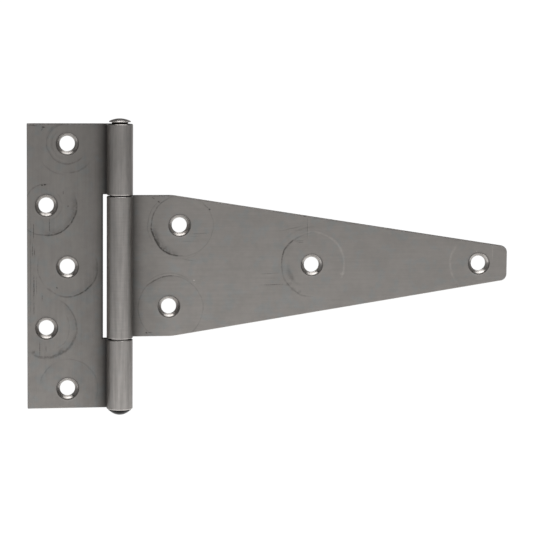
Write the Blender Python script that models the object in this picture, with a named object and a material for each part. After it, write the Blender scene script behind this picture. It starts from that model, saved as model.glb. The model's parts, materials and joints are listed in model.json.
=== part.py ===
"""Tee hinge: a butt leaf and a strap leaf, both curled round one riveted pin.

Metres, +Z up. The pin stands along Z, both leaves have their backs in the plane Y = 0, their countersunk
fronts look towards -Y, and the strap points along +X. The origin is on the back of the butt leaf, level
with its middle, where the leaf meets its post.
"""

from math import asin, atan2, cos, pi, radians, sin, tan

import bmesh
import bpy
from mathutils import Matrix, Vector

MM = 0.001

# Sheet and knuckles
SHEET = 2.5 * MM
EDGE_ROUND = 0.4 * MM
EDGE_SEGMENTS = 2
BORE_RADIUS = 4.35 * MM
KNUCKLE_RADIUS = BORE_RADIUS + SHEET
CURL_ANGLE = radians(304)
CURL_STEPS = 32
CURL_LENGTH = CURL_ANGLE * KNUCKLE_RADIUS
ARC_STEP = radians(15)
TAB_CORNER = 0.6 * MM

# The pin's axis, from the origin on the butt leaf's back
PIN_AXIS = Vector((15.0 * MM, -KNUCKLE_RADIUS, 0))

# Butt leaf: distances from the pin's axis and heights from mid-height
BUTT_REACH = 48.0 * MM
BUTT_HALF_HEIGHT = 75.0 * MM
BUTT_CORNER = 0.5 * MM
NOTCH_EDGE = 8.4 * MM
NOTCH_HALF_HEIGHT = 38.0 * MM
NOTCH_CORNER = 0.8 * MM
BUTT_HOLES = (
    (-27.0 * MM, 64.5 * MM),
    (-38.0 * MM, 32.3 * MM),
    (-27.0 * MM, 0),
    (-38.0 * MM, -32.3 * MM),
    (-27.0 * MM, -64.5 * MM),
)

# Strap leaf
STRAP_REACH = 210.0 * MM
STRAP_HALF_HEIGHT = 37.4 * MM
STRAP_SHOULDER = 28.0 * MM
SHOULDER_RADIUS = 15.0 * MM
TIP_HALF_HEIGHT = 9.0 * MM
TIP_CORNER = 3.7 * MM
STRAP_HOLES = (
    (32.0 * MM, 21.5 * MM),
    (26.5 * MM, -21.5 * MM),
    (103.0 * MM, 0),
    (194.5 * MM, 0),
)

# Screw holes, countersunk at 90 degrees from the front
HOLE_RADIUS = 4.0 * MM
SINK_RADIUS = 5.8 * MM
SINK_DEPTH = SINK_RADIUS - HOLE_RADIUS
HOLE_SIDES = 36
CUTTER_PAST = 1.0 * MM

# Pin
PIN_RADIUS = BORE_RADIUS - 0.1 * MM
PIN_SIDES = 48
HEAD_RADIUS = 5.7 * MM
HEAD_RIM = 0.6 * MM
HEAD_CROWN = 1.3 * MM
HEAD_LIFT = 1.0 * MM
RIVET_RADIUS = 6.0 * MM
RIVET_CROWN = 2.9 * MM
RIVET_GAP = 0.3 * MM
CROWN_STEPS = 6

SHARP_ANGLE = radians(35)


def clear_scene():
    for thing in list(bpy.data.objects):
        bpy.data.objects.remove(thing, do_unlink=True)


def steel(name, colour, roughness):
    """Bare steel as a Principled BSDF."""
    material = bpy.data.materials.new(name)
    material.use_nodes = True
    surface = material.node_tree.nodes["Principled BSDF"]
    surface.inputs["Base Color"].default_value = (*colour, 1)
    surface.inputs["Roughness"].default_value = roughness
    surface.inputs["Metallic"].default_value = 1
    return material


def corner_arc(corner, before, after, radius):
    """Points of the arc that is tangent to a corner's two sides."""
    to_before = (before - corner).normalized()
    to_after = (after - corner).normalized()
    half = to_before.angle(to_after) / 2
    centre = corner + (to_before + to_after).normalized() * radius / sin(half)
    start = corner + to_before * radius / tan(half) - centre
    end = corner + to_after * radius / tan(half) - centre
    sweep = atan2(start.cross(end), start.dot(end))
    steps = max(2, round(abs(sweep) / ARC_STEP))
    turned = [atan2(start.y, start.x) + sweep * step / steps for step in range(steps + 1)]
    return [centre + radius * Vector((cos(angle), sin(angle))) for angle in turned]


def rounded_outline(corners):
    """Closed outline through (x, z, radius) corners, each one rounded to its radius."""
    points = [Vector(corner[:2]) for corner in corners]
    outline = []
    for index, corner in enumerate(corners):
        after = points[(index + 1) % len(points)]
        outline += corner_arc(points[index], points[index - 1], after, corner[2])
    return outline


def flat_blank(outline):
    """The stamped sheet before it is curled, with its front and back edges rounded."""
    sheet = bmesh.new()
    back = sheet.faces.new([sheet.verts.new((x, KNUCKLE_RADIUS, z)) for x, z in outline])
    grown = bmesh.ops.extrude_face_region(sheet, geom=[back])["geom"]
    front = [item for item in grown if isinstance(item, bmesh.types.BMVert)]
    bmesh.ops.translate(sheet, verts=front, vec=(0, -SHEET, 0))
    bmesh.ops.recalc_face_normals(sheet, faces=sheet.faces)
    rims = [edge for edge in sheet.edges if abs(edge.verts[0].co.y - edge.verts[1].co.y) < SHEET / 2]
    bmesh.ops.bevel(
        sheet, geom=rims, offset=EDGE_ROUND, segments=EDGE_SEGMENTS, profile=0.5, affect="EDGES"
    )
    return sheet


def score_tabs(sheet):
    """Divides the tabs into the narrow strips that the curl bends."""
    for step in range(CURL_STEPS):
        everything = sheet.verts[:] + sheet.edges[:] + sheet.faces[:]
        line = Vector((CURL_LENGTH * step / CURL_STEPS, 0, 0))
        bmesh.ops.bisect_plane(sheet, geom=everything, plane_co=line, plane_no=(1, 0, 0), dist=1e-7)


def curl_tabs(sheet):
    """Wraps what lies beyond x = 0 round the pin's axis: length becomes angle, depth becomes radius."""
    for vert in sheet.verts:
        if vert.co.x > 0:
            angle = vert.co.x / KNUCKLE_RADIUS
            radius = vert.co.y
            vert.co.x = radius * sin(angle)
            vert.co.y = radius * cos(angle)


def as_object(name, shape, material):
    """Turns a bmesh in the pin's own coordinates into an object whose origin is on the pin's axis."""
    bmesh.ops.recalc_face_normals(shape, faces=shape.faces)
    mesh = bpy.data.meshes.new(name)
    shape.to_mesh(mesh)
    shape.free()
    piece = bpy.data.objects.new(name, mesh)
    bpy.context.collection.objects.link(piece)
    piece.location = PIN_AXIS
    if material:
        mesh.materials.append(material)
    return piece


def turned(profile, sides):
    """Solid of revolution round Z of an (r, z) profile that starts and ends on the axis."""
    shape = bmesh.new()
    verts = [shape.verts.new((r, 0, z)) for r, z in profile]
    edges = [shape.edges.new(pair) for pair in zip(verts, verts[1:])]
    bmesh.ops.spin(
        shape, geom=verts + edges, cent=(0, 0, 0), axis=(0, 0, 1), angle=2 * pi, steps=sides, use_merge=True
    )
    bmesh.ops.remove_doubles(shape, verts=shape.verts, dist=1e-6)
    return shape


def hole_cutter(holes):
    """One cutter for every hole of a leaf: a throat, and a cone that opens to the front."""
    profile = (
        (0, -CUTTER_PAST),
        (HOLE_RADIUS, -CUTTER_PAST),
        (HOLE_RADIUS, SHEET - SINK_DEPTH),
        (SINK_RADIUS + CUTTER_PAST, SHEET + CUTTER_PAST),
        (0, SHEET + CUTTER_PAST),
    )
    cutter = turned(profile, HOLE_SIDES)
    first = cutter.verts[:] + cutter.edges[:] + cutter.faces[:]
    lay_down = Matrix.Rotation(radians(90), 4, "X")
    for x, z in holes:
        copy = bmesh.ops.duplicate(cutter, geom=first)["geom"]
        verts = [item for item in copy if isinstance(item, bmesh.types.BMVert)]
        place = Matrix.Translation((x, KNUCKLE_RADIUS, z)) @ lay_down
        bmesh.ops.transform(cutter, matrix=place, verts=verts)
    bmesh.ops.delete(cutter, geom=first, context="VERTS")
    return cutter


def drill(leaf, holes):
    """Cuts the countersunk holes and keeps the result as the leaf's mesh."""
    cutter = as_object(f"{leaf.name}_cutter", hole_cutter(holes), None)
    cutter.hide_render = True
    cutter.display_type = "WIRE"
    cut = leaf.modifiers.new("screw_holes", "BOOLEAN")
    cut.operation = "DIFFERENCE"
    cut.solver = "EXACT"
    cut.object = cutter
    seen = bpy.context.evaluated_depsgraph_get()
    drilled = bpy.data.meshes.new_from_object(leaf.evaluated_get(seen))
    leaf.modifiers.clear()
    leaf.data = drilled
    bpy.data.objects.remove(cutter, do_unlink=True)


def shade(piece):
    """Smooth shading with the true corners kept sharp."""
    piece.data.shade_smooth()
    piece.data.set_sharp_from_angle(angle=SHARP_ANGLE)


def leaf_object(name, corners, holes, mirrored, material):
    """A curled leaf that lies towards -X, or towards +X when mirrored, with its holes drilled."""
    sheet = flat_blank(rounded_outline(corners))
    score_tabs(sheet)
    curl_tabs(sheet)
    if mirrored:
        for vert in sheet.verts:
            vert.co.x = -vert.co.x
    leaf = as_object(name, sheet, material)
    drill(leaf, holes)
    shade(leaf)
    return leaf


def butt_leaf(material):
    """The upright plate: its two tabs, above and below the notch, become the outer knuckles."""
    lower = (
        (-BUTT_REACH, -BUTT_HALF_HEIGHT, BUTT_CORNER),
        (CURL_LENGTH, -BUTT_HALF_HEIGHT, TAB_CORNER),
        (CURL_LENGTH, -NOTCH_HALF_HEIGHT, TAB_CORNER),
        (-NOTCH_EDGE, -NOTCH_HALF_HEIGHT, NOTCH_CORNER),
    )
    upper = tuple((x, -z, radius) for x, z, radius in reversed(lower))
    return leaf_object("butt_leaf", lower + upper, BUTT_HOLES, False, material)


def strap_leaf(material):
    """The tapered tail: it keeps its root's width into the middle knuckle and narrows to a blunt tip."""
    lower = (
        (-STRAP_REACH, -TIP_HALF_HEIGHT, TIP_CORNER),
        (-STRAP_SHOULDER, -STRAP_HALF_HEIGHT, SHOULDER_RADIUS),
        (CURL_LENGTH, -STRAP_HALF_HEIGHT, TAB_CORNER),
    )
    upper = tuple((x, -z, radius) for x, z, radius in reversed(lower))
    return leaf_object("strap_leaf", lower + upper, STRAP_HOLES, True, material)


def crown(rim_radius, height):
    """(r, rise) points of a spherical cap, from its rim at rise 0 to its top on the axis."""
    ball = (rim_radius**2 + height**2) / (2 * height)
    half_angle = asin(rim_radius / ball)
    angles = [half_angle * (1 - step / CROWN_STEPS) for step in range(CROWN_STEPS + 1)]
    return [(ball * sin(angle), height - ball * (1 - cos(angle))) for angle in angles]


def hinge_pin(material):
    """Round shank with a thin crowned head at the top and a riveted dome at the bottom."""
    head_z = BUTT_HALF_HEIGHT + HEAD_LIFT
    rivet_z = -BUTT_HALF_HEIGHT - RIVET_GAP
    rivet = [(r, rivet_z - rise) for r, rise in reversed(crown(RIVET_RADIUS, RIVET_CROWN))]
    shank = [(PIN_RADIUS, rivet_z), (PIN_RADIUS, head_z)]
    rim = [(HEAD_RADIUS, head_z)]
    head = [(r, head_z + HEAD_RIM + rise) for r, rise in crown(HEAD_RADIUS, HEAD_CROWN)]
    pin = as_object("hinge_pin", turned(rivet + shank + rim + head, PIN_SIDES), material)
    shade(pin)
    return pin


def main():
    clear_scene()
    butt_leaf(steel("butt_steel", (0.42, 0.41, 0.40), 0.42))
    strap_leaf(steel("strap_steel", (0.44, 0.43, 0.42), 0.40))
    hinge_pin(steel("pin_steel", (0.40, 0.39, 0.38), 0.34))


main()
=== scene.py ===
# %% [markdown]
# A tee hinge is the plainest of joints: one steel sheet for the post, one for the gate, and a round pin
# that both are curled round. This lesson makes its three pieces as fine surfaces, all from arrays, and
# gives them the look of bare mild steel as it leaves the press, unpainted, with its tool marks.
# The working model is loaded first, because every place and size below is read from it.

# %% Load the working model
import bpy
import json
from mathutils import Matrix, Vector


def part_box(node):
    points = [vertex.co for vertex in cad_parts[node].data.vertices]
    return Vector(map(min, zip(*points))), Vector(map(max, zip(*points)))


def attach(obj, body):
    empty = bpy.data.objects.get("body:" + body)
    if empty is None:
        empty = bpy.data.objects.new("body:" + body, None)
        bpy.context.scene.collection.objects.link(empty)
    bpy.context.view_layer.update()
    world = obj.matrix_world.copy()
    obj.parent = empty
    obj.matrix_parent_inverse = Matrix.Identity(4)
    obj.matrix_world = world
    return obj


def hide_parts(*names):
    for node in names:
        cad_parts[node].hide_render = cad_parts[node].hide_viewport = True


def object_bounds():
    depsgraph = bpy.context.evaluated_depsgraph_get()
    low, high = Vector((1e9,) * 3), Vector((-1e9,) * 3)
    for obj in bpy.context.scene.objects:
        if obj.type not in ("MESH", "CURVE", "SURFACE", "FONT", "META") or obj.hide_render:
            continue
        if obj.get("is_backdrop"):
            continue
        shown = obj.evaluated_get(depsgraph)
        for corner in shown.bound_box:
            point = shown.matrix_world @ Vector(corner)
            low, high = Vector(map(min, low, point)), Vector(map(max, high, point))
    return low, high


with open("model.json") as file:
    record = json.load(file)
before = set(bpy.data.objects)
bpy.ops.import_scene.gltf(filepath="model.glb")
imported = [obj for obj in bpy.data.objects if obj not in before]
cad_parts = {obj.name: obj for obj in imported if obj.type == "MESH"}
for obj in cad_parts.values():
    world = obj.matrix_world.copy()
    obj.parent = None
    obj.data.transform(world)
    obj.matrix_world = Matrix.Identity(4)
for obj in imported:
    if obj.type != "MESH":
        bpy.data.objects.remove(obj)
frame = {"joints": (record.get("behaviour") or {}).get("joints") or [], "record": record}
cad_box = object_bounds()

# %% Modules and units
import json

import bmesh
import bpy
import numpy as np
from mathutils import Matrix, Vector

MM = 0.001
print("the hinge is", [round(side / MM, 1) for side in cad_box[1] - cad_box[0]], "mm")

# %% [markdown]
# The pin is the line that everything turns on. Its place comes from the hinge joint, and because both
# leaves lie with their backs in the plane Y = 0, the distance from the axis to that plane is also the
# outside radius of the knuckles. The sheet's thickness is then what is left beside the bore.

# %% Sizes shared by the leaves
swing = next(joint for joint in frame["joints"] if joint["name"] == "strap_swing")
PIN_X, PIN_Y = swing["pos_m"][0], swing["pos_m"][1]
KNUCKLE_R = -PIN_Y
SHEET = 2.5 * MM
CURL_ANGLE = np.radians(304)
CURL_LENGTH = CURL_ANGLE * KNUCKLE_R
print("knuckle", round(2 * KNUCKLE_R / MM, 2), "mm across")
print("curled from", round(CURL_LENGTH / MM, 1), "mm of sheet")

# %% [markdown]
# Each screw hole is stated in the record as an opening, so its centre is the middle of that box. Every
# leaf is worked out as a flat blank first, in the press shop's order: x runs from the leaf's far edge
# towards the pin and on into the tab that will be curled, z is the height. The strap lies on the other
# side of the pin, so its x is mirrored.

# %% Screw holes, in the blank's own coordinates
def hole_centres(prefix, side):
    """Middles of the openings whose names start with prefix, as x towards the pin and z."""
    boxes = [o["box_m"] for o in frame["record"]["physics"]["openings"] if o["name"].startswith(prefix)]
    middles = np.array(boxes).mean(axis=1)
    return np.stack([side * (middles[:, 0] - PIN_X), middles[:, 2]], axis=1)


post_holes = hole_centres("post_screw_hole", 1)
gate_holes = hole_centres("gate_screw_hole", -1)
print(len(post_holes), "holes in the butt leaf,", len(gate_holes), "in the strap")

# %% [markdown]
# A blank is a flat plate, so its two faces are one grid of nodes, and all its character is at its
# borders: the outside edge, which the die rolls over a little, and the countersunk holes. The grid keeps
# its lines on the notch and leaves out a block of cells round each hole. A Boolean modifier could cut the
# holes instead, but it leaves slivers that shade badly. These helpers place the grid lines and walk
# along them.

# %% Grid lines and borders
def marks(stops, step):
    """Positions from the first stop to the last, evenly spaced between stops, at most a step apart."""
    runs = [np.linspace(a, b, int(np.ceil((b - a) / step)) + 1)[1:] for a, b in zip(stops, stops[1:])]
    return np.concatenate([[stops[0]], *runs])


def nearest(lines, place):
    """Number of the grid line that lies nearest to a place."""
    return np.abs(lines - place).argmin()


def border(corners):
    """Grid indices met on walking straight from corner to corner and back to the first one."""
    sides = []
    for start, end in zip(corners, corners[1:] + corners[:1]):
        start, end = np.array(start), np.array(end)
        count = np.abs(end - start).max()
        sides.append(start + (end - start) * np.arange(count)[:, None] / count)
    return np.rint(np.concatenate(sides)).astype(int)


def grid_quads(shape, keep):
    """Four node numbers for each kept cell of a grid whose nodes are numbered row by row."""
    number = np.arange(shape[0] * shape[1]).reshape(shape)
    around = (number[:-1, :-1], number[1:, :-1], number[1:, 1:], number[:-1, 1:])
    return np.stack(around, axis=-1)[keep]


def ring_quads(rings, around):
    """Four node numbers for each cell between closed rings, each ring numbered round after the last."""
    number = np.arange(rings * around).reshape(rings, around)
    after = np.roll(number, -1, axis=1)
    return np.stack((number[:-1], after[:-1], after[1:], number[1:]), axis=-1).reshape(-1, 4)


print("a square of 3 by 3 nodes has", len(border([(0, 0), (2, 0), (2, 2), (0, 2)])), "nodes on its border")

# %% [markdown]
# A countersunk hole is drilled, then opened to a 90 degree cone from the front. The cutter leaves a
# bright cone, a slightly raised burr outside it and softened corners, and painted shade darkens the lip.
# A profile that is carried round the hole gives all of them at once. The surface is a set of closed rings:
# the first lies on the square block of cells that was left out, the next ones shrink to a circle, and the
# rest carry the profile (radius, depth from the back) down to the back face and out again.

# %% Countersunk hole
HOLE_R = 4.0 * MM
SINK_R = 5.8 * MM
BLOCK = 8.0 * MM
BURR = 0.02 * MM
BURR_START = 0.75 * MM
BURR_WIDTH = 0.6 * MM
RIM = 0.12 * MM
LIP = 0.28 * MM
HALF_BEND = np.tan(np.radians(22.5))
CONE_STEPS = np.array([0.25, 0.4, 0.6, 1.0]) * MM


def arc(centre, radius, start, end, steps):
    """Points centre + radius times (cos, sin) of angles going evenly from start to end, in degrees."""
    angle = np.radians(np.linspace(start, end, steps + 1))
    return np.stack([centre[0] + radius * np.cos(angle), centre[1] + radius * np.sin(angle)], axis=1)


def sink_profile():
    """(radius, depth) down a countersunk hole: burr, rounded lip, cone, throat and rounded back corner.

    The burr is one cosine wave, (1 - cos) / 2, on the front face. Each rim is an arc tangent to both its
    sides, and on the cone the depth falls as fast as the radius."""
    swell = np.linspace(0, 1, 7)
    burr_x = SINK_R + BURR_START - BURR_WIDTH * swell
    burr = np.stack([burr_x, SHEET + BURR * (1 - np.cos(2 * np.pi * swell)) / 2], axis=1)
    lip = arc((SINK_R + LIP * HALF_BEND, SHEET - LIP), LIP, 90, 135, 4)
    cone_x = SINK_R - CONE_STEPS
    cone = np.stack([cone_x, SHEET - SINK_R + cone_x], axis=1)
    waist_z = SHEET - (SINK_R - HOLE_R)
    waist = arc((HOLE_R + RIM, waist_z - RIM * HALF_BEND), RIM, 135, 180, 3)
    back = arc((HOLE_R + RIM, RIM), RIM, 180, 270, 4)
    flat = [(HOLE_R + 4 * RIM, 0)]
    return np.concatenate([burr, lip, cone, waist, back, flat])


print(len(sink_profile()), "points down the side of a countersunk hole")

# %% [markdown]
# The profile is now carried round. The number of nodes round a hole is the number on its block's border,
# so that the flat face and the hole share those nodes. The same rings say where the cone is bright and
# where painted shade darkens the lip.

# %% Rings of a hole
SHRINK_STEPS = 6

# Millimetres from the cone's mouth, and the share of shine there, then of painted shade at the lip.
SHINE = ([-1.8, -0.8, -0.5, -0.2], [0.2, 0.7, 1.0, 0.0])
LIP_SHADE = ([-0.5, -0.2, 0.15, 0.4], [0.0, 0.75, 0.75, 0.0])


def countersunk_hole(centre, block):
    """Rings of a hole: from the block's border in to a circle, along the profile, and out on the back.

    Also how bright each node is, which grows from the throat nearly to the cone's lip, and how much
    painted shade it gets, which is the lip and the burr. Both are broken lines over the profile's radius."""
    profile = sink_profile()
    swept = np.unwrap(np.arctan2(block[:, 1] - centre[1], block[:, 0] - centre[0]))
    angle = swept[0] + 2 * np.pi * np.arange(len(block)) / len(block)
    ray = np.stack([np.cos(angle), np.sin(angle)], axis=1)
    inward = np.linspace(0, 1, SHRINK_STEPS)[:-1, None, None]
    front = block * (1 - inward) + (centre + profile[0, 0] * ray) * inward
    wall = centre + profile[:, :1, None] * ray
    rear = block * (1 - inward) + (centre + profile[-1, 0] * ray) * inward
    place = np.concatenate([front, wall, rear[::-1]])
    depth = np.concatenate([np.full(len(front), SHEET), profile[:, 1], np.zeros(len(rear))])
    depth = np.repeat(depth[:, None, None], len(block), axis=1)
    rings = np.concatenate([place, depth], axis=2)
    radius = (profile[:, 0] - SINK_R) / MM
    cut = profile[:, 1] > SHEET / 4
    # The shine table brightens the cone; the second table is painted shade, a dark ring at the lip.
    shares = [np.interp(radius, *table) * cut for table in (SHINE, LIP_SHADE)]
    shares = [np.pad(share, (len(front), len(rear))) for share in shares]
    bright, painted_shade = (np.repeat(share[:, None], len(block), axis=1) for share in shares)
    return rings, bright, painted_shade


square_block = BLOCK * np.array([(-1, -1), (1, -1), (1, 1), (-1, 1)])
print(len(countersunk_hole(np.zeros(2), square_block)[0]), "rings, down the hole and out on the back")

# %% [markdown]
# The outside edge is sheared in a blanking die. On the front the die draws the sheet over in a soft roll,
# the rest of the edge is a torn, straight wall, and the back corner is only just broken. A Bevel modifier
# would round both sides alike, so this profile is carried round the outline along its outward normals.
# Where the outline turns a sharp corner outwards, extra copies of the profile fan round it, and where it
# turns inwards the normals are mitred.

# %% Sheared edge
REACH = 1.0 * MM
ROLL = 0.4 * MM
BROKEN = 0.22 * MM
BURNISHED = 0.45 * MM
FAN = 5
CORNER_SHARPNESS = 0.6
SHARP_TURN = np.radians(30)


def edge_profile(roll, broken):
    """(distance outwards, depth) over the edge, one row for each pair of radii.

    On the front a quarter round of radius roll, then the wall, then a quarter round of radius broken."""
    turn = np.linspace(0, np.pi / 2, 6)
    roll, broken = roll[:, None], broken[:, None]
    ones = np.ones_like(roll)
    out = [0 * ones, REACH - roll * 1.25, REACH - roll + roll * np.sin(turn)]
    down = [SHEET * ones, SHEET * ones, SHEET - roll + roll * np.cos(turn)]
    out += [REACH - broken + broken * np.cos(turn), REACH - broken * 1.25, 0 * ones]
    down += [broken - broken * np.sin(turn), 0 * ones, 0 * ones]
    return np.concatenate(out, axis=1), np.concatenate(down, axis=1)


def outward(outline):
    """For a closed outline walked with the inside on its left: node numbers and outward vectors.

    A node gets the mitre of its two sides' normals, (n1 + n2) / (1 + n1.n2). At a sharp outward corner it
    is repeated, with vectors that swing from one normal to the other, pulled towards the mitre."""
    along = np.roll(outline, -1, axis=0) - outline
    heading = np.arctan2(along[:, 1], along[:, 0])
    before = np.roll(heading, 1)
    turn = (heading - before + np.pi) % (2 * np.pi) - np.pi
    copies = np.where(turn > SHARP_TURN, FAN, 1)
    node = np.repeat(np.arange(len(outline)), copies)
    first = np.cumsum(copies) - copies
    share = (np.arange(len(node)) - first[node]) / np.maximum(copies[node] - 1, 1)
    sharp = copies[node] > 1
    swung = before[node] + turn[node] * np.where(sharp, share, 0.5) - np.pi / 2
    middle = before[node] + turn[node] / 2 - np.pi / 2
    mitre = np.stack([np.cos(middle), np.sin(middle)], axis=1) / np.cos(turn[node] / 2)[:, None]
    fan = np.stack([np.cos(swung), np.sin(swung)], axis=1)
    pulled = mitre * CORNER_SHARPNESS + fan * (1 - CORNER_SHARPNESS)
    return node, np.where(sharp[:, None], pulled, mitre)


unit_square = np.array([(0.0, 0.0), (1.0, 0.0), (1.0, 1.0), (0.0, 1.0)])
print("a square's four corners take", len(outward(unit_square)[0]), "copies of the edge profile")

# %% [markdown]
# The roll is not the same all round a real leaf. It is deepest where the die first bites, at the top, and
# nearly absent on the long far edge, which was slit from the coil. The edge strip works that out from the
# way each outward vector points, and also says where the wall is torn or rubbed, where the foot is kept
# lighter as painted light, and where the notch's edge gets painted shade.

# %% Edge strip
TOP_GAIN, FOOT_LOSS, SLIT_LOSS = 0.4, 0.3, 0.75
RIM_SHINE = 0.9


def sheared_edge(outline):
    """Rings (profile point by outline node) of the edge strip, how bright and torn it is, and its painted
    shade.

    roll = ROLL (1 + gain top - loss foot - loss left), where top, foot and left are the shares of the
    outward vector that point there. The slit edge is less torn, and on the foot the torn wall is darkened
    less, a painted lighter lower edge. On the tabs the back corner becomes the knuckle's rim, which is
    rubbed bright. The notch's edge, beside the turning knuckle, gets painted shade."""
    node, vector = outward(outline)
    left, foot = np.clip(-vector.T, 0, 1)
    right, top = np.clip(vector.T, 0, 1)
    roll = ROLL * (1 + TOP_GAIN * top - FOOT_LOSS * foot - SLIT_LOSS * left)
    on_tab = outline[node, 0] > 0
    broken = np.where(on_tab, BURNISHED, BROKEN)
    out, down = (share.T for share in edge_profile(roll, broken))
    place = outline[node][None] + vector[None] * out[:, :, None]
    rings = np.concatenate([place, down[:, :, None]], axis=2)
    wall = np.clip((SHEET - down) / (0.4 * ROLL), 0, 1) * np.clip((down / broken - 0.3) * 2, 0, 1)
    rim = on_tab * (down < broken) * (down > 0)
    bright = RIM_SHINE * np.maximum(rim, left * (down > 0) * (down < SHEET - roll))
    # The torn wall is real; its darkening is kept weaker on the foot, a painted lighter lower edge.
    torn_and_lit_foot = wall * (out > REACH / 2) * (1 - 0.9 * left - 0.4 * foot)
    # Painted shade on the notch's edge, beside the knuckle.
    painted_shade = right * ~on_tab * np.clip(2 * out / REACH, 0, 1) * (down > 0)
    return rings, bright, torn_and_lit_foot, painted_shade


print("the strip has", sheared_edge(unit_square)[0].shape[0], "rings")

# %% [markdown]
# Curling is the step that turns the flat blank into a hinge leaf. The tab is wrapped round the pin so
# that its back becomes the outside of the knuckle: length along the tab becomes angle, and depth in the
# sheet becomes distance from the axis. A Simple Deform modifier bends a whole piece, but here the plate has
# to stay flat and only the tab turns, so one formula moves every node.

# %% Curl the tab and find the crease's painted shade
CREASE = 7.0 * MM
SHADOW = 22.0 * MM
CREASE_SHARE = 0.65
TAIL = 11.0 * MM
CROWN = np.radians(15)
FLANK = np.radians(45)


def curled(blank, side):
    """Row-frame positions of (x, z, depth) nodes: flat up to x = 0, then wrapped round the pin's axis.

    angle = x / knuckle radius, radius = knuckle radius - depth, position = axis + radius (sin, cos)."""
    x, z, depth = blank.T
    angle = np.clip(x, 0, None) / KNUCKLE_R
    radius = KNUCKLE_R - depth
    across = np.where(x > 0, radius * np.sin(angle), x)
    return np.stack([PIN_X + side * across, PIN_Y + radius * np.cos(angle), z], axis=1)


def crease_painted_shade(blank, flank_shade):
    """How much painted shade each node gets, from 0 to 1, in the crease where the plate runs under the
    knuckle.

    On the plate's front it is a weighted sum: a curved share of the last few millimetres before the
    knuckle, and a fainter share of a wider strip. On the tab it is a share of its last part, and the
    flank share is added over the knuckle's two flanks, away from its crown. All of it is painted shade."""
    x, _, depth = blank.T
    near, far = (np.clip((x + KNUCKLE_R + reach) / reach, 0, 1) for reach in (CREASE, SHADOW))
    plate = (CREASE_SHARE * near**1.5 + (1 - CREASE_SHARE) * far) * (depth > SHEET / 2) * (x <= 0)
    tab = np.clip((x - CURL_LENGTH + TAIL) / TAIL, 0, 1) ** 0.7
    flank = np.clip((np.abs(x / KNUCKLE_R - np.pi) - CROWN) / FLANK, 0, 1) * (x > 0)
    return np.clip(np.maximum(plate, tab) + flank_shade * flank, 0, 1)


tab_end = curled(np.array([[CURL_LENGTH, 0, 0]]), 1)[0]
print("the tab's end stops", round(-tab_end[1] / MM, 2), "mm in front of the leaf's back")

# %% [markdown]
# Every piece is made into a mesh in the same way, and its doubled nodes are welded. A node can also carry
# what happened to it: its place on the flat blank, how bright and how torn it is, and how much painted
# shade it gets. The material reads those, and so its patterns stay on the steel when the joint turns.

# %% Make a mesh
WELD = 0.002 * MM


def put_attribute(mesh, name, kind, values):
    """Stores one value or vector for each node on the mesh, for its material to read."""
    attribute = mesh.attributes.new(name, kind, "POINT")
    field = "vector" if kind == "FLOAT_VECTOR" else "value"
    attribute.data.foreach_set(field, values.astype(np.float32).ravel())


def show(name, data):
    """Puts a mesh, a lamp or a camera in the scene."""
    thing = bpy.data.objects.new(name, data)
    bpy.context.scene.collection.objects.link(thing)
    return thing


def make_piece(name, points, quads, attributes):
    """A closed, smooth mesh object from node positions and quads, its doubled nodes welded."""
    mesh = bpy.data.meshes.new(name)
    mesh.from_pydata(points, [], quads)
    for key, (kind, values) in attributes.items():
        put_attribute(mesh, key, kind, values)
    shape = bmesh.new()
    shape.from_mesh(mesh)
    bmesh.ops.remove_doubles(shape, verts=shape.verts, dist=WELD)
    bmesh.ops.recalc_face_normals(shape, faces=shape.faces)
    open_edges = sum(not edge.is_manifold for edge in shape.edges)
    shape.to_mesh(mesh)
    shape.free()
    mesh.shade_smooth()
    print(name, len(mesh.polygons), "faces,", open_edges, "open edges")
    return show(name, mesh)


print("the weld joins nodes within", WELD / MM, "mm")

# %% [markdown]
# A leaf is put together on its flat blank: two faces on one grid, the rings of each hole and the edge
# strip, numbered one after the other. They share their border nodes, so the weld closes the surface, and
# only then is the tab curled.

# %% Assemble a leaf
KNUCKLE_SHINE = 0.7


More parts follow.
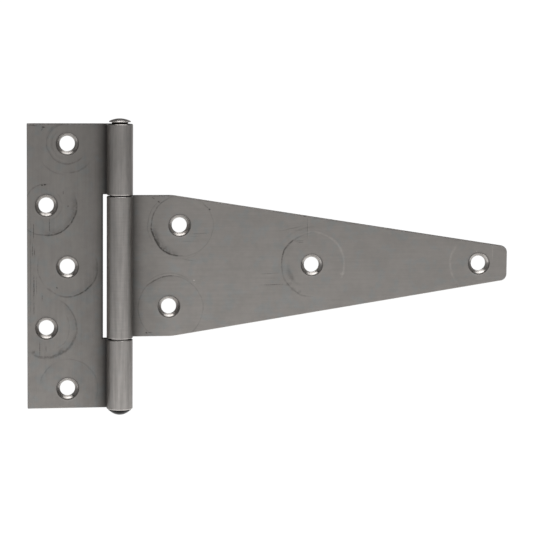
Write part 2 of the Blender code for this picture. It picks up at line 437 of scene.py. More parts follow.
def make_leaf(name, columns, rows, half_height, void, corners, holes, side, flank_shade):
    """A leaf as one closed surface: two faces on one grid, a set of rings at each hole, an edge strip.

    Node (i, j) of the grid is at x = columns[i], z = rows[j] times the half height there."""
    height = half_height(columns)
    grid = np.stack(np.broadcast_arrays(columns[:, None], rows * height[:, None]), axis=-1)
    keep = np.ones((len(columns) - 1, len(rows) - 1), bool)
    keep[void] = False
    parts = []
    for centre in holes:
        row_z = rows * half_height(centre[:1])
        left, right = (nearest(columns, centre[0] + offset) for offset in (-BLOCK, BLOCK))
        low, high = (nearest(row_z, centre[1] + offset) for offset in (-BLOCK, BLOCK))
        keep[left:right, low:high] = False
        walk = border([(left, low), (right, low), (right, high), (left, high)])
        rings, bright, painted_shade = countersunk_hole(centre, grid[walk[:, 0], walk[:, 1]])
        parts.append((rings, ring_quads(*rings.shape[:2]), bright, painted_shade * 0, painted_shade))
    walk = border(corners)
    rings, bright, torn_and_lit_foot, painted_shade = sheared_edge(grid[walk[:, 0], walk[:, 1]])
    parts.append((rings, ring_quads(*rings.shape[:2]), bright, torn_and_lit_foot, painted_shade))
    for depth in (0, SHEET):
        face = np.concatenate([grid, np.full((*grid.shape[:2], 1), depth)], axis=2)
        plain = np.zeros(grid.shape[:2])
        parts.append((face, grid_quads(grid.shape[:2], keep), plain, plain, plain))
    points, quads, bright, torn_and_lit_foot, painted_shade = zip(*parts)
    blank = np.concatenate([place.reshape(-1, 3) for place in points])
    starts = np.cumsum([0] + [place.shape[0] * place.shape[1] for place in points])
    quads = np.concatenate([part + start for part, start in zip(quads, starts)])
    used, quads = np.unique(quads, return_inverse=True)
    blank, quads = blank[used], quads.reshape(-1, 4)
    kinds = (bright, torn_and_lit_foot, painted_shade)
    bright, torn_and_lit_foot, painted_shade = (np.concatenate([share.ravel() for share in kind])[used] for kind in kinds)
    rubbed = KNUCKLE_SHINE * np.clip(blank[:, 0] / KNUCKLE_R, 0, 1) * (blank[:, 2] < SHEET / 2)
    attributes = {
        "blank": ("FLOAT_VECTOR", blank),
        "bright": ("FLOAT", np.maximum(bright, rubbed)),
        "torn_and_lit_foot": ("FLOAT", torn_and_lit_foot),
        # Painted shade: the crease, the knuckle's flanks, the notch's edge and the countersinks' lips.
        "painted_shade": ("FLOAT", np.maximum(painted_shade, crease_painted_shade(blank, flank_shade))),
    }
    return make_piece(name, curled(blank, side), quads, attributes)


print("the knuckle's outside is rubbed to", KNUCKLE_SHINE, "of full brightness")

# %% [markdown]
# The butt leaf is a rectangle with a tall notch, where the strap's knuckle turns. Its two tabs, above and
# below the notch, become the outer knuckles. The outline is straight everywhere, so a grid of x and z is
# enough. Outer sizes come from the working model's box, and the grid stands in from every edge by the
# reach of the edge strip.

# %% Butt leaf
FLAT_STEP = 1.2 * MM
CURL_STEP = np.radians(4) * KNUCKLE_R
NOTCH_EDGE = -8.4 * MM
NOTCH_HALF = 38.0 * MM

butt_low, butt_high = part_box("butt_leaf")
butt_left = butt_low.x - PIN_X + REACH
butt_half = butt_high.z - REACH
butt_flat = marks([butt_left, NOTCH_EDGE - REACH, 0], FLAT_STEP)
butt_columns = np.concatenate([butt_flat, marks([0, CURL_LENGTH - REACH], CURL_STEP)[1:]])
notch_stop = NOTCH_HALF + REACH
butt_rows = marks([-butt_half, -notch_stop, notch_stop, butt_half], FLAT_STEP)
notch_i = nearest(butt_columns, NOTCH_EDGE - REACH)
notch_low, notch_high = (nearest(butt_rows, z) for z in (-notch_stop, notch_stop))
last_i, last_j = len(butt_columns) - 1, len(butt_rows) - 1
butt_corners = [
    (0, 0), (last_i, 0), (last_i, notch_low), (notch_i, notch_low),
    (notch_i, notch_high), (last_i, notch_high), (last_i, last_j), (0, last_j),
]
butt = make_leaf(
    "butt_leaf_fine", butt_columns, butt_rows, np.ones_like,
    np.s_[notch_i:, notch_low:notch_high], butt_corners, post_holes, 1, 0,
)

# %% [markdown]
# The strap keeps its root's full width up to the shoulder and then tapers in two straight lines to a
# blunt tip with rounded corners. One function gives its half height at every x: the knuckle's width, a
# parabola that blends into the slope at the shoulder, the straight taper, and a quarter circle at the tip.

# %% Strap leaf
SHOULDER = 28.0 * MM
BLEND = 1.2 * MM
TIP_HALF = 9.0 * MM
TIP_CORNER = 3.7 * MM
# Painted shade on the two flanks of the strap's knuckle.
FLANK_SHADE = 0.25

strap_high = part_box("strap_leaf")[1]
strap_root = strap_high.z - REACH
strap_tip = strap_high.x - PIN_X
taper = (strap_high.z - TIP_HALF) / (strap_tip - SHOULDER)


def strap_half_height(x):
    """Half height less REACH at x: root width, parabola over the shoulder, taper, then the tip's arc."""
    past = -x - SHOULDER
    drop = np.where(past > BLEND, taper * past, taper * np.clip(past + BLEND, 0, None) ** 2 / (4 * BLEND))
    start = strap_tip - TIP_CORNER
    radius = TIP_CORNER - REACH
    into = np.clip((-x - start) / radius, 0, 1)
    at_start = strap_root - taper * (start - SHOULDER)
    rounded = at_start - radius * (1 - np.sqrt(1 - into**2))
    return np.where(into > 0, rounded, strap_root - drop)


tip_bend = np.cos(np.linspace(0, np.pi / 2, 9))
tip_columns = -(strap_tip - TIP_CORNER) - (TIP_CORNER - REACH) * tip_bend
strap_flat = marks([tip_columns[-1], -SHOULDER - BLEND, -SHOULDER + BLEND, 0], FLAT_STEP)[1:]
strap_curl = marks([0, CURL_LENGTH - REACH], CURL_STEP)[1:]
strap_columns = np.concatenate([tip_columns, strap_flat, strap_curl])
strap_rows = marks([-1, 1], FLAT_STEP / strap_root)
end_i, end_j = len(strap_columns) - 1, len(strap_rows) - 1
strap = make_leaf(
    "strap_leaf_fine", strap_columns, strap_rows, strap_half_height,
    np.s_[0:0, 0:0], [(0, 0), (end_i, 0), (end_i, end_j), (0, end_j)], gate_holes, -1, FLANK_SHADE,
)

# %% [markdown]
# The pin is turned from bar: a straight shank, a thin mushroom head pressed at the top, and a dome
# riveted over at the bottom once the leaves are on. A turned piece is one profile of (radius, height)
# carried round the axis. The pin stands about a millimetre proud at the top, so its neck shows.

# %% Hinge pin
HEAD_RIM = 0.55 * MM
HEAD_LIFT = 1.0 * MM
RIVET_GAP = 0.3 * MM
RIM_ROUND = 0.18 * MM
BORE_CLEARANCE = 0.1 * MM
SHANK_R = KNUCKLE_R - SHEET - BORE_CLEARANCE
HEAD_R = 5.7 * MM

pin_low, pin_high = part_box("hinge_pin")
rivet_r = (pin_high.x - pin_low.x) / 2


def cap(rim_r, rim_z, top_z, steps):
    """(radius, z) over a spherical cap from its rim to its top on the axis.

    The ball's radius is (r^2 + h^2) / 2h, and the angle from the axis goes evenly down to zero."""
    rise = abs(top_z - rim_z)
    ball = (rim_r**2 + rise**2) / (2 * rise)
    angle = np.linspace(np.arcsin(rim_r / ball), 0, steps + 1)
    height = rim_z + np.sign(top_z - rim_z) * (ball * np.cos(angle) - ball + rise)
    return np.stack([ball * np.sin(angle), height], axis=1)


def turned(name, profile, around):
    """A closed turned piece: node (k, a) is at radius r_k, height z_k and the a-th of the equal angles."""
    angle = 2 * np.pi * np.arange(around) / around
    radius = profile[:, :1]
    height = np.repeat(profile[:, 1:], around, axis=1)
    points = np.stack([PIN_X + radius * np.cos(angle), PIN_Y + radius * np.sin(angle), height], axis=-1)
    return make_piece(name, points.reshape(-1, 3), ring_quads(len(profile), around), {})


def pin_profile():
    """From the bottom of the rivet up the shank to the top of the head, with rounded rims."""
    head_z = butt_high.z + HEAD_LIFT
    rivet_z = butt_low.z - RIVET_GAP
    rivet = cap(rivet_r - RIM_ROUND, rivet_z - RIM_ROUND, pin_low.z, 16)[::-1]
    rivet_rim = arc((rivet_r - RIM_ROUND, rivet_z - RIM_ROUND), RIM_ROUND, -30, 90, 5)
    shank = [(SHANK_R + RIM_ROUND, rivet_z), (SHANK_R, rivet_z + RIM_ROUND), (SHANK_R, head_z - RIM_ROUND)]
    under = [(SHANK_R + RIM_ROUND, head_z)]
    low_rim = arc((HEAD_R - RIM_ROUND, head_z + RIM_ROUND), RIM_ROUND, -90, 0, 4)
    high_rim = arc((HEAD_R - RIM_ROUND, head_z + HEAD_RIM - RIM_ROUND), RIM_ROUND, 0, 60, 4)
    head = cap(high_rim[-1, 0], high_rim[-1, 1], pin_high.z, 16)[1:]
    return np.concatenate([rivet, rivet_rim, shank, under, low_rim, high_rim, head])


pin = turned("hinge_pin_fine", pin_profile(), 96)

# %% [markdown]
# A finish could be painted as a picture and wrapped round the piece, but worked-out patterns stay sharp at
# any distance and need no file. These are built from small shader node groups. The helpers keep the wiring
# readable: feed() sets or links an input by its name or number, and the others add one node each and give
# back its output.

# %% Node helpers
def feed(tree, node, values):
    """Links each value that is a socket, and sets each one that is a number or a colour."""
    for key, value in values.items():
        if isinstance(value, bpy.types.NodeSocket):
            tree.links.new(value, node.inputs[key])
        else:
            node.inputs[key].default_value = value
    return node


def add(tree, kind, values):
    """A new node of a kind, with its inputs fed."""
    return feed(tree, tree.nodes.new(kind), values)


def maths(tree, operation, *values):
    """The result of one sum, difference, product or other operation on values or sockets."""
    node = tree.nodes.new("ShaderNodeMath")
    node.operation = operation
    return feed(tree, node, dict(enumerate(values))).outputs[0]


def fade(tree, value, start, end, low=0.0, high=1.0):
    """Smoothly from low to high as value goes from start to end."""
    node = tree.nodes.new("ShaderNodeMapRange")
    node.interpolation_type = "SMOOTHSTEP"
    return feed(tree, node, {"Value": value, 1: start, 2: end, 3: low, 4: high}).outputs[0]


def noise(tree, place, scale, detail=2.0, roughness=0.5):
    """Soft random patches from 0 to 1. The scale is about how many there are to a metre."""
    values = {"Vector": place, "Scale": scale, "Detail": detail, "Roughness": roughness}
    return add(tree, "ShaderNodeTexNoise", values).outputs["Fac"]


def varied(tree, patches, low, high):
    """From low to high over the middle of a noise, which seldom leaves 0.3 to 0.7."""
    return fade(tree, patches, 0.3, 0.7, low, high)


def stretched(tree, place, scale):
    """The place with each axis scaled, for patterns that run along the sheet."""
    node = tree.nodes.new("ShaderNodeVectorMath")
    node.operation = "MULTIPLY"
    return feed(tree, node, {0: place, 1: scale}).outputs[0]


def blend_colour(tree, share, first, second, blend="MIX"):
    """From the first colour towards the second, by the share."""
    node = tree.nodes.new("ShaderNodeMix")
    node.data_type = "RGBA"
    node.blend_type = blend
    return feed(tree, node, {"Factor": share, 6: first, 7: second}).outputs[2]


print("feed() and seven helpers that add a node each")

# %% [markdown]
# Long sums and products read better in one line, and a group's sockets are easier to follow as a list of
# names. A finished steel skin always ends the same way too: colour times shade, roughness and a shallow
# bump go into the shader.

# %% Helpers for groups and skins
def product(tree, *values):
    """All the values multiplied together."""
    total = values[0]
    for value in values[1:]:
        total = maths(tree, "MULTIPLY", total, value)
    return total


def total_of(tree, *values):
    """All the values added together."""
    total = values[0]
    for value in values[1:]:
        total = maths(tree, "ADD", total, value)
    return total


def new_group(name, numbers, outputs):
    """A shader group that takes a Place and the named numbers; gives its tree, inputs and end node."""
    tree = bpy.data.node_groups.new(name, "ShaderNodeTree")
    tree.interface.new_socket("Place", in_out="INPUT", socket_type="NodeSocketVector")
    for label in numbers:
        tree.interface.new_socket(label, in_out="INPUT", socket_type="NodeSocketFloat")
    for label in outputs:
        tree.interface.new_socket(label, in_out="OUTPUT", socket_type="NodeSocketFloat")
    return tree, tree.nodes.new("NodeGroupInput").outputs, tree.nodes.new("NodeGroupOutput")


def use(tree, group, values):
    """Places a group in a tree with its own values; gives the group's outputs."""
    node = tree.nodes.new("ShaderNodeGroup")
    node.node_tree = group
    return feed(tree, node, values).outputs


def from_centre(tree, given):
    """How far along x and z the group's Place is from its Centre."""
    parts = add(tree, "ShaderNodeSeparateXYZ", {0: given["Place"]}).outputs
    return [maths(tree, "SUBTRACT", parts[i], given[key]) for i, key in enumerate(("Centre X", "Centre Z"))]


def new_material(name):
    """An empty material; gives it and its tree."""
    material = bpy.data.materials.new(name)
    material.use_nodes = True
    return material, material.node_tree


def finish_steel(tree, colour, shade, rough, height):
    """Bare metal of colour times shade, with a bump of height millimetres."""
    grey = add(tree, "ShaderNodeCombineColor", {0: shade, 1: shade, 2: shade}).outputs[0]
    colour = blend_colour(tree, 1.0, colour, grey, "MULTIPLY")
    bump = add(tree, "ShaderNodeBump", {"Strength": 1.0, "Distance": MM, "Height": height})
    values = {"Base Color": colour, "Metallic": 1.0, "Roughness": rough, "Normal": bump.outputs[0]}
    feed(tree, tree.nodes["Principled BSDF"], values)


print("every group takes a Place and gives masks")

# %% [markdown]
# Mill skin is what rolling and oiling leave on a sheet: soft clouds a few millimetres across, patches that
# are slightly warmer or cooler in tone, and a fine grain drawn out along the rolling direction. All three
# are noise, and one group gives them. They are laid out on the flat blank, so that the grain follows the
# sheet round the knuckle.

# %% Group: mill skin
WIDE_CLOUDS, SMALL_CLOUDS, HUE_PATCHES, GRAIN_LINES = 90.0, 330.0, 190.0, 1000.0
WIDE_SHARE = 0.6

tree, given, end = new_group("mill_skin", ["Along X", "Along Z"], ["Cloud", "Hue", "Grain"])
wide = noise(tree, given["Place"], WIDE_CLOUDS)
small = noise(tree, given["Place"], SMALL_CLOUDS, 3.0, 0.6)
cloud = total_of(tree, product(tree, wide, WIDE_SHARE), product(tree, small, 1 - WIDE_SHARE))
hue = noise(tree, stretched(tree, given["Place"], (1.0, 1.0, 3.0)), HUE_PATCHES)
axes = {0: given["Along X"], 1: given["Along Z"], 2: 1.0}
grain_scale = add(tree, "ShaderNodeCombineXYZ", axes).outputs[0]
grain = noise(tree, stretched(tree, given["Place"], grain_scale), GRAIN_LINES, 4.0, 0.7)
feed(tree, end, {"Cloud": cloud, "Hue": hue, "Grain": grain})
skin_group = tree
print(tree.name, "has", len(tree.nodes), "nodes")

# %% [markdown]
# When a hole is drilled the curling chips and the clamp scrape rings round it. A ring mark is a thin dark
# line at one distance from a centre, strongest towards one side. Its smear is a soft shadow inside it,
# where oil has dried. Noise, which the material works out once for all its marks, makes it wander and
# breaks it up. The scrapes are too shallow to cut as geometry, so they are a mask that darkens the skin.

# %% Group: ring mark
SMEAR_WIDTH = 4 * MM
SMEAR_SHARE = 0.6
SIDE_FADE = 0.4
NOT_ZERO = 0.1 * MM
RING_ROW = ("Centre X", "Centre Z", "Radius", "Width", "Side X", "Side Z", "Reach", "Smear", "Strength")

tree, given, end = new_group("ring_mark", ["Wander", "Break", *RING_ROW], ["Mark"])
from_x, from_z = from_centre(tree, given)
square = total_of(tree, product(tree, from_x, from_x), product(tree, from_z, from_z))
distance = maths(tree, "SQRT", square)
past = maths(tree, "SUBTRACT", total_of(tree, distance, given["Wander"]), given["Radius"])
line = fade(tree, maths(tree, "ABSOLUTE", past), 0.0, given["Width"], 1.0, 0.0)
rising = fade(tree, past, -SMEAR_WIDTH, 0.0)
falling = fade(tree, past, 0.0, given["Width"], 1.0, 0.0)
smear = product(tree, rising, falling, given["Smear"], SMEAR_SHARE)
line = maths(tree, "MAXIMUM", line, smear)
side_x = product(tree, from_x, given["Side X"])
side_z = product(tree, from_z, given["Side Z"])
span = maths(tree, "MAXIMUM", distance, NOT_ZERO)
towards = maths(tree, "DIVIDE", total_of(tree, side_x, side_z), span)
window = fade(tree, towards, given["Reach"], total_of(tree, given["Reach"], SIDE_FADE))
feed(tree, end, {"Mark": product(tree, line, window, given["Break"], given["Strength"])})
ring_group = tree
print(tree.name, "has", len(tree.nodes), "nodes")

# %% [markdown]
# Dents, scratches and specks of scale are all the same thing at different proportions: a small ellipse
# with a soft, ragged border. Long thin ones are scratches, round ones are specks, wide faint ones are
# smudges, and a negative strength gives a light rub instead of a dark mark. Each is placed by itself,
# because noise alone would scatter them evenly, and handling doesn't.

# %% Group: blot
BORDER_START, BORDER_END = 0.1, 1.3
BLOT_ROW = ("Centre X", "Centre Z", "Half Length", "Half Width", "Cos", "Sin", "Strength")

tree, given, end = new_group("blot", ["Ragged", *BLOT_ROW], ["Mark"])
from_x, from_z = from_centre(tree, given)
x_cos, x_sin = (product(tree, from_x, given[key]) for key in ("Cos", "Sin"))
z_cos, z_sin = (product(tree, from_z, given[key]) for key in ("Cos", "Sin"))
along = maths(tree, "DIVIDE", total_of(tree, x_cos, z_sin), given["Half Length"])
across = maths(tree, "DIVIDE", maths(tree, "SUBTRACT", z_cos, x_sin), given["Half Width"])
square = total_of(tree, product(tree, along, along), product(tree, across, across))
inside = fade(tree, total_of(tree, square, given["Ragged"]), BORDER_START, BORDER_END, 1.0, 0.0)
feed(tree, end, {"Mark": product(tree, inside, given["Strength"])})
blot_group = tree
print(tree.name, "has", len(tree.nodes), "nodes")

# %% [markdown]
# Now the leaf's own material. Bare steel is a metal with a fairly rough surface, so its colour comes
# from what it mirrors. The clouds shift it a little, the marks darken it, the torn edge and the painted
# shade of the crease, the notch and the lips are darker and duller, and the countersinks and rubbed
# knuckles are brighter and smoother.

# %% Leaf material
WANDER = 0.4 * MM
MARK_LIMIT = 2.0
# The third darkening is painted shade, in the crease, on the flanks, at the notch's edge and the lips.
MARK_DARK, TORN_DARK, PAINTED_SHADE_DARK = 0.35, 0.8, 0.75
WARM, COOL = (1.06, 1.0, 0.945), (1.0, 1.0, 0.975)
BRIGHT_STEEL = (0.68, 0.645, 0.615, 1.0)
ROUGH, SMOOTHER = 0.46, 0.40
POLISH = 0.26
# The second roughens the torn edge and the places of painted shade.
MARK_DULL, TORN_AND_SHADE_DULL = 0.05, 0.1
CLOUD_HEIGHT, GRAIN_HEIGHT, MARK_DEPTH = 0.02, 0.004, 0.015


def shape_value(tree, name, kind):
    """A place or a number that the mesh carries at each node."""
    node = tree.nodes.new("ShaderNodeAttribute")
    node.attribute_name = name
    return node.outputs[kind]


def steel_material(name, tone, grain_scale, rings, blots):
    """Bare sheet steel. Rings and blots are dictionaries of the values that their groups take.

    They show on the front face only, where the drill and the clamp have been."""
    material, tree = new_material(name)
    place = shape_value(tree, "blank", "Vector")
    bright, torn_and_lit_foot, painted_shade = (shape_value(tree, key, "Fac") for key in ("bright", "torn_and_lit_foot", "painted_shade"))
    skin = use(tree, skin_group, {"Place": place, "Along X": grain_scale[0], "Along Z": grain_scale[1]})
    slow, quick = noise(tree, place, 110.0), noise(tree, place, 420.0, 3.0, 0.7)
    wander = fade(tree, slow, 0.2, 0.8, -WANDER, WANDER)
    breaks = fade(tree, quick, 0.3, 0.62, 0.3, 1.0)
    ragged = fade(tree, noise(tree, place, 1500.0), 0.25, 0.75, -0.4, 0.5)
    streaks = noise(tree, stretched(tree, place, (1.0, 0.08, 1.0)), 500.0, 3.0, 0.6)
    worn = varied(tree, streaks, -0.18, 0.12)
    marks_sum = 0.0
    ring_noise, blot_noise = {"Wander": wander, "Break": breaks}, {"Ragged": ragged}
    for group, shared, rows in ((ring_group, ring_noise, rings), (blot_group, blot_noise, blots)):
        for row in rows:
            mark = use(tree, group, {"Place": place, **shared, **row})["Mark"]
            marks_sum = total_of(tree, marks_sum, mark)
    depth = add(tree, "ShaderNodeSeparateXYZ", {0: place}).outputs[2]
    in_front = fade(tree, depth, 0.4 * SHEET, 0.6 * SHEET)
    marks_sum = product(tree, maths(tree, "MINIMUM", marks_sum, MARK_LIMIT), in_front)
    darkening = ((marks_sum, MARK_DARK), (torn_and_lit_foot, TORN_DARK), (painted_shade, PAINTED_SHADE_DARK))
    shade = product(
        tree,
        varied(tree, skin["Cloud"], 0.94, 1.05),
        varied(tree, skin["Grain"], 0.965, 1.035),
        total_of(tree, 1.0, product(tree, bright, worn)),
        *(maths(tree, "SUBTRACT", 1.0, product(tree, mask, dark)) for mask, dark in darkening),
    )
    warm, cool = (tuple(tone * part for part in hue) + (1.0,) for hue in (WARM, COOL))
    colour = blend_colour(tree, fade(tree, skin["Hue"], 0.5, 0.7), warm, cool)
    colour = blend_colour(tree, bright, colour, BRIGHT_STEEL)
    rough = varied(tree, skin["Cloud"], ROUGH, SMOOTHER)
    dull = product(tree, total_of(tree, torn_and_lit_foot, painted_shade), TORN_AND_SHADE_DULL)
    rough = total_of(tree, rough, dull, product(tree, marks_sum, MARK_DULL))
    rough = maths(tree, "SUBTRACT", rough, product(tree, bright, bright, POLISH))
    cloud_height = product(tree, skin["Cloud"], CLOUD_HEIGHT)
    grain_height = product(tree, skin["Grain"], GRAIN_HEIGHT)
    mark_depth = product(tree, marks_sum, MARK_DEPTH)
    height = maths(tree, "SUBTRACT", total_of(tree, cloud_height, grain_height), mark_depth)
    finish_steel(tree, colour, shade, rough, height)
    print(name, "has", len(tree.nodes), "nodes for", len(rings), "rings and", len(blots), "blots")
    return material


# %% [markdown]
# The marks themselves are placed one by one, in millimetres, as seen from the front: a ring by its hole and
# a small shift from it, a blot by its distance from the pin's axis and its height. The strap's blank runs
# the other way, so there the first number changes sign. The butt's sheet was rolled along its height and
# the strap's along its length, so their grain is drawn out along z and along x.

# %% Where the marks are
BUTT_TONE, STRAP_TONE = 0.385, 0.452
ALONG_Z, ALONG_X = (1.0, 0.04), (0.04, 1.0)


def ring_values(centres, side, table):
    """Group values for each row: hole, shift, radius, width, side in degrees, reach, smear, strength."""
    rows = []
    for hole, shift_x, shift_z, radius, width, facing, reach, smear, strength in table:
        x, z = centres[hole] + np.array((side * shift_x, shift_z)) * MM
        across, up = side * np.cos(np.radians(facing)), np.sin(np.radians(facing))
        values = (x, z, radius * MM, width * MM, across, up, reach, smear, strength)
        rows.append(dict(zip(RING_ROW, values)))
    return rows


def blot_values(side, table):
    """Group values for each row: x, z, half length, half width, turn in degrees, strength."""
    rows = []
    for x, z, length, width, turn, strength in table:
        cos, sin = np.cos(np.radians(turn)), side * np.sin(np.radians(turn))
        values = (side * x * MM, z * MM, length * MM, width * MM, cos, sin, strength)
        rows.append(dict(zip(BLOT_ROW, values)))
    return rows


butt_rings = ring_values(post_holes, 1, (
    (0, 0, 0, 10.6, 0.7, 200, -0.6, 0.2, 0.8), (0, 0, 0, 7.9, 0.5, 180, 0.5, 0, 0.5),
    (0, 0, 0, 9.3, 0.5, 200, 0.2, 0, -0.4), (0, 0, 0, 15.2, 0.8, -70, 0.8, 0.4, 1.6),
    (0, 0, 0, 16.3, 0.7, 238, 0.8, 0, 1.2), (0, 0, 0, 11.4, 0.6, 130, 0.7, 0, 0.7),
    (1, 0, 0, 15.7, 0.8, -38, 0.4, 1, 1.4), (1, 0, 0, 15.8, 0.6, -80, 0.3, 0, 1),
    (1, 0, 0, 11.3, 0.6, 125, 0.6, 0, 0.9), (1, 0, 0, 8, 0.5, -10, 0.3, 0, 0.4),
    (2, 0, 0, 15.5, 0.8, -35, 0.5, 0.6, 1), (2, 0, 0, 15.6, 0.7, -75, 0.5, 0, 0.9),
    (2, 0, 0, 15.7, 0.6, 188, 0.8, 0, 1.6), (3, 0, 0, 15.8, 0.8, -30, -0.2, 0.5, 0.9),
    (3, 0, 0, 15.2, 0.7, -65, 0.5, 0, 0.8), (3, 0, 0, 12, 0.5, -15, 0.5, 0, 0.5),
    (4, 0, 0, 15, 0.7, 142, 0.8, 0.5, 1.4), (4, 0, 0, 15.6, 0.6, 40, 0.3, 0, 0.4),
))
butt_blots = blot_values(1, (
    (-39.5, 73.1, 0.9, 0.5, 0, 2), (-44.7, 74, 3, 0.35, -5, 1.2), (-40.3, 71.9, 1.3, 0.35, 60, 1),
    (-40.2, 42.9, 0.7, 0.45, 10, 2), (-38.8, 43.1, 0.7, 0.45, -10, 2), (-26.7, 31.8, 0.5, 0.5, 0, 1),
    (-29.2, 39, 1, 0.3, 85, 1), (-44.7, 18.7, 4.8, 0.3, 90, 1.4), (-36.4, 21.4, 4.8, 0.25, 90, 1.2),
    (-45.3, 9, 3.8, 0.3, 90, 1.2), (-44.3, 7.6, 2.2, 0.3, 90, 1.2), (-44.6, -11, 7, 0.35, 90, 1.3),
    (-44.6, -22, 4, 0.3, 90, 1), (-43.2, -10.5, 6, 0.25, 90, 0.8), (-46.3, -5, 30, 0.3, 90, 0.6),
    (-40.3, -16.3, 1.6, 0.4, 90, 0.8), (-32.6, -11, 0.5, 0.5, 45, 1.6), (-36.5, -12, 2, 0.6, -35, 0.5),
    (-41.6, -43.1, 4.9, 0.25, 90, 1.2), (-30.4, -44.7, 2, 1.6, 45, 0.6), (-45, -45, 1.2, 1, 0, 0.8),
    (-38.3, -43.2, 1.8, 0.5, 90, 0.5),
))
strap_rings = ring_values(gate_holes, -1, (
    (0, 1.4, 0, 16.3, 0.8, 222, 0.65, 1, 3), (0, 1.4, 0, 16.3, 0.6, 195, 0.1, 0, 0.9),
    (0, 1.4, 0, 16.3, 0.5, 30, -1.5, 0, 0.5), (0, 0, 0, 16.9, 0.5, 170, 0.6, 0, 0.7),
    (0, 0, 0, 17.8, 0.5, 280, 0.8, 0, 0.7), (1, 0.8, -0.8, 17.1, 0.8, 106, 0.8, 0.6, 2.6),
    (1, 0.8, -0.8, 17.1, 0.5, 0, -1.5, 0, 0.6), (1, 0, 1, 16.8, 0.5, 90, 0.6, 0, 0.6),
    (2, 0.4, 0, 17, 0.8, 150, 0.8, 0.3, 2.4), (2, 0.4, 0, 17, 0.7, 175, -0.2, 0, 0.8),
    (2, 0.4, 0, 17.2, 0.9, 45, 0.2, 0, -0.7), (2, 0, 0, 12.7, 1.5, 205, 0.7, 0, 0.6),
    (2, 0, 0, 20, 0.8, 105, 0.8, 0, 1), (3, 0, 0, 15.8, 1, 180, 0.6, 0, -0.6),
))
strap_blots = blot_values(-1, (
    (47.8, 29.9, 0.8, 0.45, -55, 2), (45.8, 31.5, 1.6, 0.3, -35, 0.8), (21, 33.9, 0.8, 0.4, -30, 1.6),
    (18, 35.9, 1, 0.3, -35, 1.2), (14.6, -35.4, 0.6, 0.45, 0, 1.8), (16.5, -35.3, 1.4, 0.35, 0, 1),
    (39.8, -7.8, 0.5, 0.4, 0, -1.6), (40.2, -9.6, 0.4, 0.3, 0, -0.6), (42, 17, 5, 0.25, 2, 0.7),
    (40, 15.6, 4, 0.2, 2, 0.5), (36.6, 13, 6, 0.25, 0, 0.5), (37, 3, 4, 0.3, -10, 0.5),
    (82, -10.5, 7.5, 0.3, 1, 0.9), (80, -4.5, 6, 0.25, 3, 0.6), (79, -7, 6, 0.2, 0, 0.4),
    (92, 19.5, 7, 0.3, 12, 0.6), (95.8, 12.8, 2.6, 0.3, 0, 1), (96.5, 12, 2, 0.25, 0, 0.8),
    (100.4, 19.8, 6.2, 0.25, 90, 0.6), (101.2, 19.8, 6, 0.25, 90, -0.4), (99, 26.2, 0.8, 0.5, -8, 2),
    (91.3, -5.5, 4, 1.6, -60, 0.35), (93, -13, 1.8, 1.2, -30, 0.4), (96.5, -14.5, 1.4, 1, 20, 0.4),
    (90.5, -10.3, 2.4, 0.9, 20, 0.4), (119.5, -5, 1.4, 0.8, 0, -0.5), (202, 5.5, 4, 0.3, 90, -0.5),
))
for leaf, skin in (
    (butt, steel_material("butt_steel_skin", BUTT_TONE, ALONG_Z, butt_rings, butt_blots)),
    (strap, steel_material("strap_steel_skin", STRAP_TONE, ALONG_X, strap_rings, strap_blots)),
):
    leaf.data.materials.append(skin)

# %% [markdown]
# The pin is round bar. Its pressed head is rubbed bright, and its foot's rivet gets dark painted shade.
# Turning it in its bore marks fine rings round it, so the pattern is drawn out across and reads mostly the
# height. The height also tells the head from the foot, and no mask has to be painted.

# %% Pin material
PIN_STEEL = (0.43, 0.41, 0.39, 1.0)
FOOT_SHADE_REACH = 2 * MM
FOOT_SHADE_TONE, CROWN_TONE = 0.03, 2.0
RING_LINES, PIN_CLOUDS = 2600.0, 260.0
PIN_BUMP = 0.03


def pin_material():
    """Round steel bar: rings of fine tone along Z, with soft clouds."""
    material, tree = new_material("pin_steel_skin")
    place = tree.nodes.new("ShaderNodeTexCoord").outputs["Object"]
    lines = noise(tree, stretched(tree, place, (0.1, 0.1, 1.0)), RING_LINES, 3.0, 0.6)
    cloud = noise(tree, place, PIN_CLOUDS, 3.0, 0.6)
    height = add(tree, "ShaderNodeSeparateXYZ", {0: place}).outputs[2]
    # Painted shade: the rivet at the foot is darkened nearly to black.
    foot_shade = fade(tree, height, butt_low.z, butt_low.z + FOOT_SHADE_REACH, FOOT_SHADE_TONE, 1.0)
    crown = fade(tree, height, butt_high.z, butt_high.z + HEAD_LIFT, 1.0, CROWN_TONE)
    fine, soft = varied(tree, lines, 0.94, 1.04), varied(tree, cloud, 0.85, 1.08)
    shade = product(tree, fine, soft, foot_shade, crown)
    rough = varied(tree, cloud, 0.36, 0.26)
    finish_steel(tree, PIN_STEEL, shade, rough, product(tree, cloud, PIN_BUMP))
    print(material.name, "has", len(tree.nodes), "nodes")
    return material


pin.data.materials.append(pin_material())

# %% [markdown]
# Each fine piece takes the place of its working solid and rides on the body that the solid belongs to,
# so that it turns with the joint.

# %% Join the pieces to the bodies
for piece, body, node, slot in (
    (butt, "butt", "butt_leaf", "butt_steel"),
    (strap, "strap", "strap_leaf", "strap_steel"),
    (pin, "pin", "hinge_pin", "pin_steel"),
):
    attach(piece, body)
    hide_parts(node)
    print(piece.name, "rides on", body, "in place of", node)

# %% [markdown]
# Bare metal shows what stands round it, so the room matters as much as the lamps. The stage is a pale
# floor well below the hinge, where no hard shadow reaches it. The room is a soft grey, bright in front
# where the key light would be and behind where the backdrop is, and dark upwards, which draws the dark
# upper edges. A ring of lamps could do the same, but each would draw a hard line down the round knuckles,
# and a room that fades smoothly doesn't. One soft box overhead lights the countersinks' lower halves.

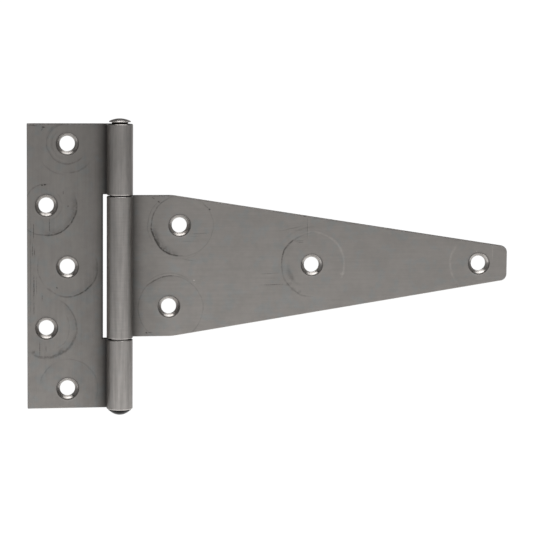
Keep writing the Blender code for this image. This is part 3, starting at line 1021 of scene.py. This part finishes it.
# %% Places and tones of the stage
KEY_AZIMUTH = np.radians(9)
KEY_X, KEY_Y = np.sin(KEY_AZIMUTH), np.cos(KEY_AZIMUTH)
WHITE = 1.02
SIDE_LIFT = 0.6
FLOOR_PAINT = (0.9, 0.9, 0.9, 1)
PURE_WHITE = (1, 1, 1, 1)


print("the key light would stand", round(np.degrees(KEY_AZIMUTH)), "degrees right of the front")

# %% [markdown]
# The floor is a plain disc, and the light is an area light. A lamp's power is worked out from the
# radiance that the metal should mirror, so that its size can change without changing its brightness.

# %% Floor and soft box
def direction(azimuth, elevation):
    """Unit vector from the hinge, by the angle right of the front and the angle up."""
    level = np.cos(elevation)
    return Vector((np.sin(azimuth) * level, -np.cos(azimuth) * level, np.sin(elevation)))


def make_floor(drop, radius, glow):
    """A disc below the hinge. It glows a little, and looks white to the camera."""
    mesh = bpy.data.meshes.new("floor")
    shape = bmesh.new()
    place = Matrix.Translation((PIN_X, 0, butt_low.z - drop))
    bmesh.ops.create_circle(shape, cap_ends=True, segments=64, radius=radius, matrix=place)
    shape.to_mesh(mesh)
    shape.free()
    material, tree = new_material("pale_floor")
    seen = tree.nodes.new("ShaderNodeLightPath").outputs["Is Camera Ray"]
    values = {"Base Color": FLOOR_PAINT, "Roughness": 0.9, "Emission Color": PURE_WHITE}
    values["Emission Strength"] = total_of(tree, seen, glow)
    feed(tree, tree.nodes["Principled BSDF"], values)
    mesh.materials.append(material)
    show("floor", mesh)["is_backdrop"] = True
    print("floor", drop, "m below the hinge")


def soft_box(name, azimuth, elevation, distance, size, radiance):
    """A square area light of the given radiance, at a direction and distance from the hinge."""
    light = bpy.data.lights.new(name, "AREA")
    light.shape = "SQUARE"
    light.size = size
    light.energy = radiance * np.pi * size**2
    lamp = show(name, light)
    lamp.visible_camera = False
    ray = direction(*np.radians((azimuth, elevation)))
    lamp.location = Vector((PIN_X, 0, 0)) + ray * distance
    lamp.rotation_mode = "QUATERNION"
    lamp.rotation_quaternion = ray.to_track_quat("Z", "Y")
    print(name, "light of", round(light.energy, 1), "W")


make_floor(drop=0.25, radius=1.2, glow=0.5)
soft_box("overhead", azimuth=55, elevation=81, distance=2.2, size=2.3, radiance=2.4)

# %% [markdown]
# The room is the world behind everything. It is a function of direction alone: bright where a direction
# lies near the key light's, and darker as it climbs. The plain Standard view keeps the greys as they were
# worked out, where the default view would press the white background down to grey.

# %% Room
def make_room(grey, front, behind, high_share):
    """A grey room that looks white to the camera.

    It brightens smoothly to the front value a little to the right of the front, and to the behind value
    at the back. Upwards it darkens to the given share, later towards the sides: the height that counts is
    z - SIDE_LIFT |x|."""
    world = bpy.data.worlds.new("studio")
    bpy.context.scene.world = world
    world.use_nodes = True
    tree = world.node_tree
    direction = tree.nodes.new("ShaderNodeTexCoord").outputs["Generated"]
    parts = add(tree, "ShaderNodeSeparateXYZ", {0: direction}).outputs
    ahead = maths(tree, "SUBTRACT", product(tree, parts[0], KEY_X), product(tree, parts[1], KEY_Y))
    facing, far = fade(tree, ahead, 0.45, 0.95, grey, front), fade(tree, parts[1], 0.3, 0.9, grey, behind)
    sideways = maths(tree, "ABSOLUTE", parts[0])
    lifted = maths(tree, "SUBTRACT", parts[2], product(tree, sideways, SIDE_LIFT))
    high = fade(tree, lifted, 0.0, 0.3, 1.0, high_share)
    level = product(tree, maths(tree, "MAXIMUM", facing, far), high)
    seen = tree.nodes.new("ShaderNodeLightPath").outputs["Is Camera Ray"]
    values = {"Color": PURE_WHITE, "Strength": fade(tree, seen, 0.0, 1.0, level, WHITE)}
    feed(tree, tree.nodes["Background"], values)
    print("room from", grey, "at the sides to", front, "in front")


make_room(grey=0.205, front=0.322, behind=0.4, high_share=0.1)
bpy.context.scene.view_settings.view_transform = "Standard"

# %% [markdown]
# The camera stands in front, a little to the post's side and above, with a long lens, so that the
# plates look almost flat and the knuckles' ends just show their curve. Its axes are worked out from two
# angles and a small roll, and no target object is needed.

# %% Camera
SENSOR = 36.0
AZIMUTH, ELEVATION, ROLL = np.radians((-9.0, 6.3, -0.5))
DISTANCE = 1.1594
LENS = 148.6
AIM_ACROSS, AIM_UP = 0.07795, -0.00036

right = Vector((np.cos(AZIMUTH), np.sin(AZIMUTH), 0))
back = direction(AZIMUTH, ELEVATION)
up = back.cross(right)
across_axis = right * np.cos(ROLL) - up * np.sin(ROLL)
up_axis = right * np.sin(ROLL) + up * np.cos(ROLL)
camera = show("camera", bpy.data.cameras.new("camera"))
turn = Matrix((across_axis, up_axis, back)).transposed().to_4x4()
stand = Vector((PIN_X, 0, 0)) + across_axis * AIM_ACROSS + up_axis * AIM_UP + back * DISTANCE
camera.matrix_world = Matrix.Translation(stand) @ turn
camera.data.lens = LENS
camera.data.sensor_width = SENSOR
bpy.context.scene.camera = camera
print("camera at", [round(part, 3) for part in stand], "m")

# %% [markdown]
# Last, the two boxes are compared: the fine pieces have to fill the same space as the working model.

# %% Sizes and finish
fine_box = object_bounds()
gaps = [abs(a - b) for cad, fine in zip(cad_box, fine_box) for a, b in zip(cad, fine)]
print("largest difference", round(max(gaps) / MM, 3), "mm")
